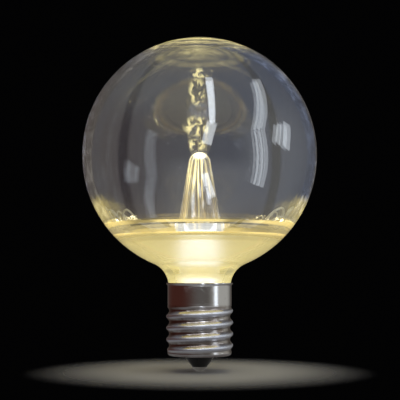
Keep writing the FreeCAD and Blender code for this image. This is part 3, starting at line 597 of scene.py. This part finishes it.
def lit_board():
    """White solder mask, with a painted pool of the LEDs' light on its top inside the skirt."""
    shader = Shader("board_white")
    x, y, z, vector = shader.place()
    from_axis = shader.from_axis(x, y)
    mottle = shader.noise(vector, 400.0, 3.0)
    # Painted pool of light on the board's top, inside the skirt
    top = shader.rise(z, BOARD_TOP - 0.05 * MM, BOARD_TOP - 0.02 * MM)
    pool = 1 - shader.rise(from_axis, SKIRT_RADIUS - 3.2 * MM, SKIRT_RADIUS - 1.2 * MM)
    return shader.shown(shader.plastic({
        "Base Color": shader.blend(mottle, (0.78, 0.78, 0.75, 1), (0.66, 0.65, 0.61, 1)),
        "Roughness": 0.35 + mottle * 0.2,
        "Normal": shader.bump(mottle, 0.03 * MM, 0.4),
        "Emission Color": shader.tinted(rgb(250, 244, 220), top * pool),
        "Emission Strength": 1.4}))


def globe_dome():
    """Dome shell: outer arc, equator land and inner arc about shared centres, with a flat seat."""
    seat = math.degrees(math.asin((LOWER_CENTRE - JOINT) / GLOBE_RADIUS))
    seat_inner = math.degrees(math.asin((LOWER_CENTRE - JOINT) / BORE))
    profile = joined(
        arc((0, LOWER_CENTRE), GLOBE_RADIUS, -seat, 0, 48),
        arc((0, UPPER_CENTRE), GLOBE_RADIUS, 0, 90, 110),
        arc((0, UPPER_CENTRE), BORE, 90, 0, 110),
        arc((0, LOWER_CENTRE), BORE, 0, -seat_inner, 48),
        run((across(BORE, JOINT), JOINT), (across(GLOBE_RADIUS, JOINT), JOINT)))
    points, faces = wound(profile[:-1], 256)
    return finished("dome", points, faces,
                    clear_plastic("clear_dome", (0.985, 0.99, 1.0, 1), 0.006, dome_glow, 0.12,
                                  coat=True),
                    "globe_dome")


def core_lens():
    """Clear disc, its two locating rings, the hollow cone with a round tip and the skirt below."""
    rim_outer = across(GLOBE_RADIUS, BOWL_RIM)
    joint_outer = across(GLOBE_RADIUS, JOINT)
    upper_ring = across(BORE, JOINT) - FIT
    lower_ring = across(BORE, BOWL_RIM - RING_HEIGHT) - FIT
    centre = CONE_TOP - CONE_TIP
    rise = centre - JOINT
    slant = math.acos(CONE_TIP / math.hypot(CONE_BASE, rise)) - math.atan(rise / CONE_BASE)
    bore_tip = CONE_TIP - CONE_WALL
    bore_base = CONE_BASE - CONE_WALL / math.cos(slant)
    edge = np.degrees([math.asin((LOWER_CENTRE - BOWL_RIM) / GLOBE_RADIUS),
                       math.asin((LOWER_CENTRE - JOINT) / GLOBE_RADIUS)])
    bend = math.degrees(slant)
    side = (math.cos(slant), math.sin(slant))
    profile = joined(
        arc((0, LOWER_CENTRE), GLOBE_RADIUS, -edge[0], -edge[1], 12),
        run((joint_outer, JOINT), (upper_ring, JOINT), (upper_ring, JOINT + RING_HEIGHT),
            (upper_ring - RING_WIDTH, JOINT + RING_HEIGHT), (upper_ring - RING_WIDTH, JOINT),
            (CONE_BASE, JOINT),
            (CONE_TIP * side[0], centre + CONE_TIP * side[1])),
        arc((0, centre), CONE_TIP, bend, 90, 16),
        arc((0, centre), bore_tip, 90, bend, 16),
        run((bore_tip * side[0], centre + bore_tip * side[1]), (bore_base, JOINT),
            (SKIRT_RADIUS - CONE_WALL, BOWL_RIM), (SKIRT_RADIUS - CONE_WALL, SKIRT_FOOT),
            (SKIRT_RADIUS, SKIRT_FOOT), (SKIRT_RADIUS, BOWL_RIM),
            (lower_ring - RING_WIDTH, BOWL_RIM), (lower_ring - RING_WIDTH, BOWL_RIM - RING_HEIGHT),
            (lower_ring, BOWL_RIM - RING_HEIGHT), (lower_ring, BOWL_RIM), (rim_outer, BOWL_RIM)))
    points, faces = wound(profile[:-1], 192)
    return finished("light_guide", points, faces,
                    clear_plastic("clear_lens", lens_tint, 0.02, lens_glow, 5.0,
                                  frost=frosted_skirt),
                    "core_lens")


def globe_bowl():
    """Bowl wall, hollow curve to the neck, spigot and ledge as one closed profile."""
    reach = GLOBE_RADIUS + NECK_FILLET
    out = NECK_RADIUS + NECK_FILLET
    tangent = math.degrees(math.acos(out / reach))
    rim = math.degrees(math.asin((LOWER_CENTRE - BOWL_RIM) / GLOBE_RADIUS))
    rim_inner = math.degrees(math.asin((LOWER_CENTRE - BOWL_RIM) / BORE))
    shoulder = CAP_RIM + SEAT_GAP
    shoulder_turn = math.degrees(math.asin((shoulder - WAIST) / NECK_FILLET))
    bore_fillet = NECK_FILLET + WALL
    ledge_bore = NECK_BORE - LEDGE_WIDTH
    profile = joined(
        arc((0, LOWER_CENTRE), BORE, -rim_inner, -tangent, 40),
        arc((out, WAIST), bore_fillet, 180 - tangent, 180, 30),
        run((NECK_BORE, WAIST), (NECK_BORE, LEDGE), (ledge_bore, LEDGE), (ledge_bore, SPIGOT_FOOT),
            (SPIGOT_RADIUS, SPIGOT_FOOT), (SPIGOT_RADIUS, shoulder),
            (out - NECK_FILLET * math.cos(math.radians(shoulder_turn)), shoulder)),
        arc((out, WAIST), NECK_FILLET, 180 - shoulder_turn, 180 - tangent, 24),
        arc((0, LOWER_CENTRE), GLOBE_RADIUS, -tangent, -rim, 40),
        run((across(GLOBE_RADIUS, BOWL_RIM), BOWL_RIM), (across(BORE, BOWL_RIM), BOWL_RIM)))
    points, faces = wound(profile[:-1], 192)
    return finished("bowl", points, faces, glowing_bowl(), "globe_bowl")


def cap_section(inset):
    """Rows of the formed sheet from contact hole to rim: radius, height and share of the thread."""
    middle = (THREAD_MINOR + THREAD_MAJOR) / 2
    bend_centre = middle - CAP_CORNER
    foot = CAP_FOOT + CAP_CORNER
    lip_foot = CAP_RIM - (LIP_RADIUS + SHEET) * math.sin(LIP_TURN)
    floor = np.linspace(CONTACT_HOLE, bend_centre, 12)[:-1]
    corner = np.radians(np.linspace(0, 90, 12))
    thread = np.linspace(foot, THREAD_TOP, 130)[1:-1]
    collar = np.linspace(THREAD_TOP, lip_foot, 16)
    lip = LIP_TURN * np.linspace(0, 1, 14)[1:]
    share = np.clip(np.minimum(thread - foot, THREAD_TOP - thread) / THREAD_RUNOUT, 0, 1)
    share = share ** 2 * (3 - 2 * share)
    step_out = np.clip((collar - THREAD_TOP) / (0.35 * MM), 0, 1)
    rows = [
        np.stack([floor, np.full_like(floor, CAP_FOOT + inset), 0 * floor], 1),
        np.stack([bend_centre + (CAP_CORNER - inset) * np.sin(corner),
                  foot - (CAP_CORNER - inset) * np.cos(corner), 0 * corner], 1),
        np.stack([np.full_like(thread, middle - inset), thread, share], 1),
        np.stack([middle - inset + (COLLAR_RADIUS - middle) * step_out, collar, 0 * collar], 1),
        np.stack([COLLAR_RADIUS + LIP_RADIUS - (LIP_RADIUS + inset) * np.cos(lip),
                  lip_foot + (LIP_RADIUS + inset) * np.sin(lip), 0 * lip], 1)]
    return np.vstack(rows)


def cap_shell():
    """Formed sheet: each row of the section carried round the axis with the helix's wave on it.

    Radius = section radius + share x depth x (crest - 1/2), with crest = ((1 + cos(height in
    pitches - turn)) / 2) ^ 1.3, which makes crests narrower than roots.
    """
    sides = 240
    turn = TURN * np.arange(sides) / sides
    skins = []
    for inset in (0.0, SHEET):
        rows = cap_section(inset)
        phase = TURN * (rows[:, 1:2] - THREAD_PHASE) / THREAD_PITCH - turn
        crest = ((1 + np.cos(phase)) / 2) ** 1.3
        radius = rows[:, 0:1] + rows[:, 2:3] * (THREAD_MAJOR - THREAD_MINOR) * (crest - 0.5)
        height = np.repeat(rows[:, 1:2], sides, 1)
        skins.append(np.stack([radius * np.cos(turn), radius * np.sin(turn), height], 2))
    grid = np.concatenate([skins[0], skins[1][::-1]])
    faces = grid_faces(len(grid), sides).reshape(-1, 4).tolist()
    return finished("screw_cap", grid.reshape(-1, 3), faces, bright_nickel(),
                    "cap_shell")


def cap_insulator():
    """Black cone with a rounded rim, neck through the shell's hole and flange inside."""
    plug = CONTACT_HOLE - SEAT_GAP
    seat = CAP_FOOT + SHEET + SEAT_GAP
    bore = SHANK + SEAT_GAP
    outside = CAP_FOOT - SEAT_GAP
    profile = joined(
        run((bore, FLANGE_TOP), (bore, INSULATOR_FOOT)),
        run((bore, INSULATOR_FOOT), (CONTACT_RADIUS, INSULATOR_FOOT)),
        run((CONTACT_RADIUS, INSULATOR_FOOT), (plug - SHEET, outside)),
        run((plug - SHEET, outside), (plug, outside), (plug, seat), (FLANGE_RADIUS, seat),
            (FLANGE_RADIUS, FLANGE_TOP), (bore, FLANGE_TOP)))
    points, faces = wound(profile[:-1], 144)
    return finished("insulator", points, faces,
                    moulded("insulator_black", (0.012, 0.012, 0.013, 1), 0.30,
                            (0.02, 0.02, 0.019, 1), gloss=0.25),
                    "cap_insulator")


def centre_contact():
    """Rivet: domed head, shank and closed head, turned about the axis."""
    head = INSULATOR_FOOT - SEAT_GAP
    radius = (CONTACT_RADIUS ** 2 + head ** 2) / (2 * head)
    half = math.degrees(math.asin(CONTACT_RADIUS / radius))
    foot = RIVET_TOP - RIVET_HEIGHT
    profile = joined(
        arc((0, radius), radius, -90, -90 + half, 24),
        run((CONTACT_RADIUS, head), (SHANK, head), (SHANK, foot), (RIVET, foot), (RIVET, RIVET_TOP),
            (0, RIVET_TOP), step=0.2 * MM))
    points, faces = wound(profile, 96)
    return finished("contact", points, faces,
                    moulded("contact_metal", (0.66, 0.65, 0.63, 1), 0.22,
                            (0.42, 0.40, 0.37, 1), metallic=1.0),
                    "centre_contact")


def strand(path, radius, sides=8):
    """Points and faces of a thread of cement along a path, closed by a pole at each end.

    Each section is a circle about the path, in the plane of the path's normals; its radius falls to
    nothing at the ends as sqrt(1 - t^8), with t from -1 to 1 along the path.
    """
    tangent = np.gradient(path, axis=0)
    tangent /= np.linalg.norm(tangent, axis=1)[:, None]
    outward = path * (1, 1, 0)
    normal = outward - tangent * np.sum(outward * tangent, 1)[:, None]
    normal /= np.linalg.norm(normal, axis=1)[:, None]
    binormal = np.cross(tangent, normal)
    count = len(path)
    along = np.linspace(-1, 1, count)[1:-1]
    size = (radius * np.sqrt(1 - along ** 8))[:, None, None]
    angle = (TURN * np.arange(sides) / sides)[None, :, None]
    circle = np.cos(angle) * normal[1:-1, None] + np.sin(angle) * binormal[1:-1, None]
    rings = path[1:-1, None] + size * circle
    points = np.vstack([path[:1], rings.reshape(-1, 3), path[-1:]])
    grid = 1 + grid_faces(count - 2, sides)
    faces = grid[:-1].reshape(-1, 4).tolist()
    last = len(points) - 1
    faces += [[0, after, here] for here, after in grid[0, :, :2].tolist()]
    faces += [[last, here, after] for here, after in grid[-1, :, :2].tolist()]
    return points, faces


STRAND_RADIUS = 0.24 * MM
STRAND_INSET = 0.30 * MM
STRAND_STRETCH = 1.35

# Threads of cement on the dome's wall: turn in degrees, and height above the joint in millimetres
# before the stretch
STRANDS = [
    [(-176, 2.3), (-171, 3.0), (-166, 2.6), (-162, 0.7), (-159, 0.4), (-157, 1.9), (-152, 2.5),
     (-148, 1.5), (-146, 0.4), (-142, 0.5), (-140, 1.8), (-135, 2.2), (-131, 0.8)],
    [(-168, 0.4), (-164, 1.5), (-158, 1.2), (-153, 0.4)],
    [(-47, 0.5), (-43, 1.9), (-37, 2.7), (-33, 2.0), (-31, 0.5), (-28, 0.6), (-27, 2.3),
     (-22, 3.0), (-18, 2.4)],
    [(-40, 0.4), (-36, 1.2), (-30, 1.3), (-25, 0.4)],
    [(20, 0.5), (24, 1.9), (30, 2.4), (34, 0.6), (37, 0.5), (41, 1.9), (47, 1.1)],
    [(138, 0.6), (144, 1.8), (149, 0.6), (153, 1.6), (160, 2.4), (167, 1.2)],
]


def joint_cement():
    """Bead round the joint and the threads drawn up from it at two sides.

    The bead is an oval section whose height and width wander with the turn; it stands highest at
    two opposite sides. Each thread is a thin tube on the wall, on a smooth spline (cubic Hermite)
    through its points.
    """
    sides, section = 480, 14
    turn = TURN * np.arange(sides) / sides
    wander = np.random.default_rng(5)
    swell = np.zeros(sides)
    for wave in (3, 7, 11, 17, 29, 43):
        swell += wander.normal() * np.sin(wave * turn + wander.uniform(0, TURN)) / wave ** 0.5
    swell = (swell - swell.min()) / (swell.max() - swell.min())
    drawn = np.abs(np.cos(turn)) ** 6
    half_height = (0.09 + 0.04 * swell + drawn * (0.10 + 0.38 * swell)) * MM
    half_width = (0.16 + 0.12 * swell + drawn * 0.12) * MM
    level = JOINT + 0.05 * MM + half_height + drawn * 0.2 * MM * swell
    wall = np.sqrt(BORE ** 2 - (LOWER_CENTRE - level) ** 2)
    middle = wall - half_width - 0.12 * MM
    angle = TURN * np.arange(section)[:, None] / section
    radius = middle + half_width * np.cos(angle)
    height = level + half_height * np.sin(angle)
    grid = np.stack([radius * np.cos(turn), radius * np.sin(turn), height], 2)
    points = [grid.reshape(-1, 3)]
    faces = grid_faces(section, sides).reshape(-1, 4).tolist()
    for corners in STRANDS:
        corners = np.array(corners, float)
        share = np.linspace(0, len(corners) - 1, 10 * len(corners))
        low = np.clip(share.astype(int), 0, len(corners) - 2)
        step = (share - low)[:, None]
        slope = np.gradient(corners, axis=0)
        first, last = corners[low], corners[low + 1]
        smooth = (first * (1 + 2 * step) * (1 - step) ** 2
                  + last * step ** 2 * (3 - 2 * step)
                  + slope[low] * step * (1 - step) ** 2 - slope[low + 1] * step ** 2 * (1 - step))
        bearing, up = np.radians(smooth[:, 0]), JOINT + smooth[:, 1] * STRAND_STRETCH * MM
        reach = np.sqrt(BORE ** 2 - (LOWER_CENTRE - up) ** 2) - STRAND_INSET
        path = np.stack([reach * np.cos(bearing), reach * np.sin(bearing), up], 1)
        tube, tube_faces = strand(path, STRAND_RADIUS)
        start = sum(len(block) for block in points)
        points.append(tube)
        faces += [[corner + start for corner in face] for face in tube_faces]
    return finished("cement_bead", np.vstack(points), faces, cement_glow(),
                    "joint_cement")


globe_dome()
core_lens()
globe_bowl()
joint_cement()
cap_shell()
cap_insulator()
centre_contact()

# Nodes that are shown as the CAD has them
NODE_FINISHES = {
    "led_board": lit_board(),
    "driver_board": moulded("board_green", (0.03, 0.13, 0.05, 1), 0.35, (0.05, 0.18, 0.08, 1)),
    "bridge_rectifier": moulded("component_black", (0.02, 0.02, 0.02, 1), 0.4,
                                (0.04, 0.04, 0.04, 1)),
    "film_capacitor": moulded("capacitor_brown", (0.30, 0.07, 0.02, 1), 0.25,
                              (0.22, 0.05, 0.02, 1)),
    "resistor_1": moulded("resistor_tan", (0.52, 0.38, 0.20, 1), 0.3, (0.42, 0.30, 0.16, 1)),
    "board_pin_live": moulded("pin_tinned", (0.62, 0.62, 0.60, 1), 0.25, (0.4, 0.4, 0.4, 1),
                              metallic=1.0),
    "lead_wire_shell": moulded("wire_white", (0.75, 0.75, 0.72, 1), 0.4, (0.62, 0.61, 0.57, 1)),
    "lead_wire_contact": moulded("wire_red", (0.45, 0.03, 0.02, 1), 0.4, (0.32, 0.02, 0.02, 1)),
}
NODE_FINISHES["resistor_2"] = NODE_FINISHES["resistor_1"]
NODE_FINISHES["board_pin_neutral"] = NODE_FINISHES["board_pin_live"]
led_finish = phosphor()
for number in range(1, 6):
    NODE_FINISHES["led_%d" % number] = led_finish
for node, finish in NODE_FINISHES.items():
    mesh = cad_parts[node].data
    if not mesh.materials:
        mesh.materials.append(finish)
    for slot in range(len(mesh.materials)):
        mesh.materials[slot] = finish


FLOOR_RADIUS = 0.7
FLOOR_SIDES = 96
FADE_START = 16 * MM
FADE_END = 44 * MM


def pale_floor():
    """Pale floor at the contact's tip, which fades away into the dark round the lamp."""
    shader = Shader("floor_pale")
    x, y = shader.place()[:2]
    away = shader.rise(shader.from_axis(x, y), FADE_START, FADE_END)
    pale = shader.plastic({"Base Color": (0.62, 0.61, 0.59, 1), "Roughness": 0.6})
    bright = shader.node("Emission", {}, {"Color": (0.16, 0.155, 0.15, 1)}).outputs[0]
    pale = shader.mixed(shader.node("LightPath").outputs["Is Glossy Ray"], pale, bright)
    clear = shader.node("BsdfTransparent").outputs[0]
    finish = shader.shown(shader.mixed(away, pale, clear))
    turn = TURN * np.arange(FLOOR_SIDES) / FLOOR_SIDES
    points = np.stack([FLOOR_RADIUS * np.cos(turn), FLOOR_RADIUS * np.sin(turn), 0 * turn], 1)
    mesh = bpy.data.meshes.new("floor")
    mesh.from_pydata(points.tolist(), [], [list(range(FLOOR_SIDES))])
    mesh.materials.append(finish)
    floor = bpy.data.objects.new("floor", mesh)
    bpy.context.scene.collection.objects.link(floor)


FOLD_TURN = math.radians(8.1)


def world_light():
    """Room: dark to the eye, a grey backdrop with two dark folds behind clear parts, and for all
    other light a pale ceiling over walls that are dark at the left, light at the right and pale low
    down in front.
    """
    shader = Shader("room", "worlds")
    bpy.context.scene.world = shader.material
    path = shader.node("LightPath")
    split = shader.node("SeparateXYZ", {}, {0: shader.node("TexCoord").outputs["Generated"]})
    right, behind, up = [Field(shader, split.outputs[axis]) for axis in range(3)]
    walls = shader.blend(shader.rise(right, -1.0, 0.1),
                         (0.050, 0.016, 0.011, 1), (0.085, 0.075, 0.065, 1))
    walls = shader.blend(shader.rise(right, 0.50, 0.95), walls, (0.36, 0.35, 0.31, 1))
    low_front = shader.rise(up * -1, 0.06, 0.36) * shader.rise(behind * -1, 0.0, 0.5) \
        * shader.rise(right, -0.75, -0.15)
    walls = shader.blend(low_front, walls, (0.36, 0.35, 0.33, 1))
    room = shader.blend(shader.rise(up, 0.30, 0.80), walls, (0.15, 0.155, 0.165, 1))
    turn = shader.maths("ARCTAN2", right, behind)
    fold = abs(abs(turn) - FOLD_TURN)
    fold = 1 - shader.rise(fold, math.radians(0.5), math.radians(1.35))
    backdrop = shader.blend(shader.rise(turn, -0.25, 0.25), (0.082, 0.077, 0.069, 1),
                            (0.050, 0.062, 0.094, 1))
    backdrop = shader.blend(fold * 0.95, backdrop, (0.012, 0.012, 0.013, 1))
    seen = shader.blend(path.outputs["Is Transmission Ray"], room, backdrop)
    seen = shader.blend(path.outputs["Is Camera Ray"], seen, (0.0008, 0.0008, 0.0009, 1))
    surface = shader.node("Background", {}, {"Color": seen}).outputs[0]
    shader.node("OutputWorld", {}, {"Surface": surface})


GLOBE_MIDDLE = (0.0, 0.0, UPPER_CENTRE)


def soft_lamp(name, foot, head, width, brightness, colour=(1, 1, 1)):
    """Rectangular soft lamp that faces the globe, its foot and head measured from the globe's
    middle; the brightness is that of its face.
    """
    light = bpy.data.lights.new(name, "AREA")
    light.shape = "RECTANGLE"
    foot, head = (np.array(end) + GLOBE_MIDDLE for end in (foot, head))
    height = np.linalg.norm(head - foot)
    light.size, light.size_y = width, height
    light.energy = brightness * math.pi * width * height
    light.color = colour
    lamp = bpy.data.objects.new(name, light)
    bpy.context.scene.collection.objects.link(lamp)
    middle = (foot + head) / 2
    up = (head - foot) / height
    side = np.cross(up, middle - GLOBE_MIDDLE)
    side /= np.linalg.norm(side)
    away = np.cross(side, up)
    axes = np.stack([side, up, away, middle], 1)
    lamp.matrix_world = Matrix(axes.tolist() + [[0, 0, 0, 1]])
    lamp.visible_camera = False
    return lamp


pale_floor()
world_light()
DAYLIGHT = (0.86, 0.93, 1.0)

# Panes of the window at the right: shift along the wall and width
WINDOW_PANES = [(-0.048, 0.024), (-0.012, 0.032), (0.030, 0.036)]
WINDOW_BRIGHTNESS = 1.2
for pane, (shift, width) in enumerate(WINDOW_PANES, 1):
    aside = shift * 0.4
    soft_lamp("window_low_%d" % pane, (0.430 + aside, -0.213 + shift, -0.245),
              (0.433 + aside, -0.270 + shift, 0.150), width, WINDOW_BRIGHTNESS, DAYLIGHT)
    soft_lamp("window_high_%d" % pane, (0.433 + aside, -0.270 + shift, 0.154),
              (0.440 + aside, 0.060 + shift, 0.600), width, WINDOW_BRIGHTNESS, DAYLIGHT)
soft_lamp("side_pane_1", (0.487, -0.115, 0.065), (0.487, -0.055, 0.185), 0.05, 1.4, DAYLIGHT)
soft_lamp("side_pane_2", (0.487, -0.020, 0.045), (0.487, 0.040, 0.185), 0.08, 1.4, DAYLIGHT)
soft_lamp("front_high", (0.0975, -0.45, 0.195), (0.0575, -0.17, 0.466), 0.045, 2.6, DAYLIGHT)

# Cards close in front of the cap, which show in its gloss alone: middle and width
CAP_CARDS = [(-0.0155, 0.008), (0.001, 0.024), (0.0175, 0.008)]
CARD_FOOT = -0.0312
CARD_HEAD = -0.0225
for number, (middle, width) in enumerate(CAP_CARDS, 1):
    front = -0.0235 + 0.25 * abs(middle)
    card = soft_lamp("cap_card_%d" % number, (middle, front, CARD_FOOT),
                     (middle, front, CARD_HEAD), width, 1.7)
    card.visible_diffuse = False
    card.visible_transmission = False
soft_lamp("front_under", (0.085, -0.31, -0.315), (0.035, -0.415, -0.172), 0.05, 1.8, DAYLIGHT)
soft_lamp("front_low", (0.055, -0.50, 0.04), (0.0975, -0.45, 0.20), 0.08, 1.6, DAYLIGHT)

CAMERA_PITCH = math.radians(4.3)
CAMERA_DISTANCE = 249.5 * MM
CAMERA_AIM = 42.35 * MM
CAMERA_OFFSET = 0.1 * MM
lens = bpy.data.cameras.new("camera")
lens.lens = 90
lens.sensor_width = 36
lens.clip_start = 0.01
camera = bpy.data.objects.new("camera", lens)
bpy.context.scene.collection.objects.link(camera)
camera.location = (CAMERA_OFFSET, -CAMERA_DISTANCE * math.cos(CAMERA_PITCH),
                   CAMERA_AIM - CAMERA_DISTANCE * math.sin(CAMERA_PITCH))
camera.rotation_euler = (math.pi / 2 + CAMERA_PITCH, 0, 0)
bpy.context.scene.camera = camera

bpy.context.scene.view_settings.view_transform = "Standard"
bpy.context.scene.cycles.max_bounces = 24
bpy.context.scene.cycles.glossy_bounces = 12
bpy.context.scene.cycles.transmission_bounces = 24
